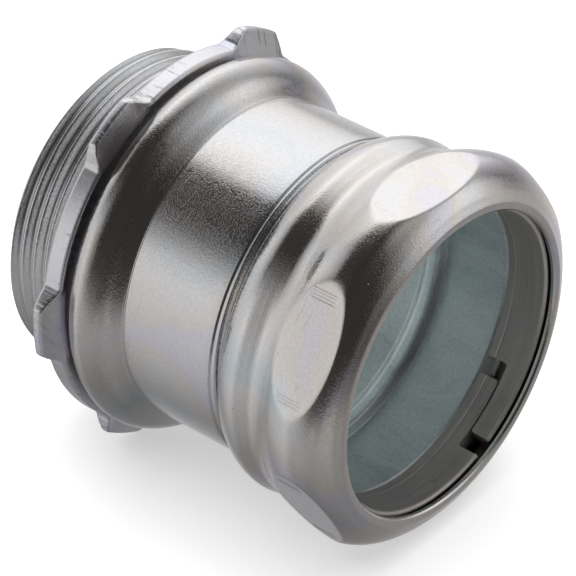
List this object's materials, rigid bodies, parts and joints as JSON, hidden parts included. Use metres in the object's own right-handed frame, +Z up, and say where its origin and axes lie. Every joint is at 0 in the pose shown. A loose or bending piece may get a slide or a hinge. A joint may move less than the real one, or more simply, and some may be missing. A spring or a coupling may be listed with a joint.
{
  "type": "conduit compression fitting",
  "caption": "Zinc-plated steel compression connector that joins EMT conduit to an electrical box, with threaded hub, locknut, split ring and hex gland nut.",
  "frame": {"origin": "on the bore axis, in the plane of the shoulder face that seats on the box wall", "axes": "+X along the bore out of the conduit side; -X is the threaded box side; +Z up, square to one flat of the gland nut"},
  "size_m": [0.061, 0.0624, 0.0571],
  "materials": {
    "body_zinc": "bright zinc plate, satin to polished",
    "locknut_zinc": "zinc plate over stamped steel",
    "ring_steel": "dark plain steel with a light oil film",
    "nut_zinc": "bright zinc plate, polished"
  },
  "bodies": {
    "connector": {"connector_body": "body_zinc"},
    "locknut": {"locknut": "locknut_zinc"},
    "ring": {"compression_ring": "ring_steel"},
    "gland_nut": {"gland_nut": "nut_zinc"}
  },
  "joints": [
    {"name": "locknut_travel", "type": "slide", "parent": "connector", "child": "locknut", "axis": [-1, 0, 0], "range_m": [-0.0005, 0.016]},
    {"name": "ring_travel", "type": "slide", "parent": "connector", "child": "ring", "axis": [1, 0, 0], "range_m": [0, 0.012]},
    {"name": "gland_nut_turn", "type": "hinge", "parent": "ring", "child": "gland_nut", "pos_m": [0.035, 0, 0], "axis": [1, 0, 0], "range_deg": [0, 2700]}
  ],
  "couplings": [
    {"joint": "ring_travel", "follows": "gland_nut_turn", "m_per_rad": 0.00025266}
  ]
}
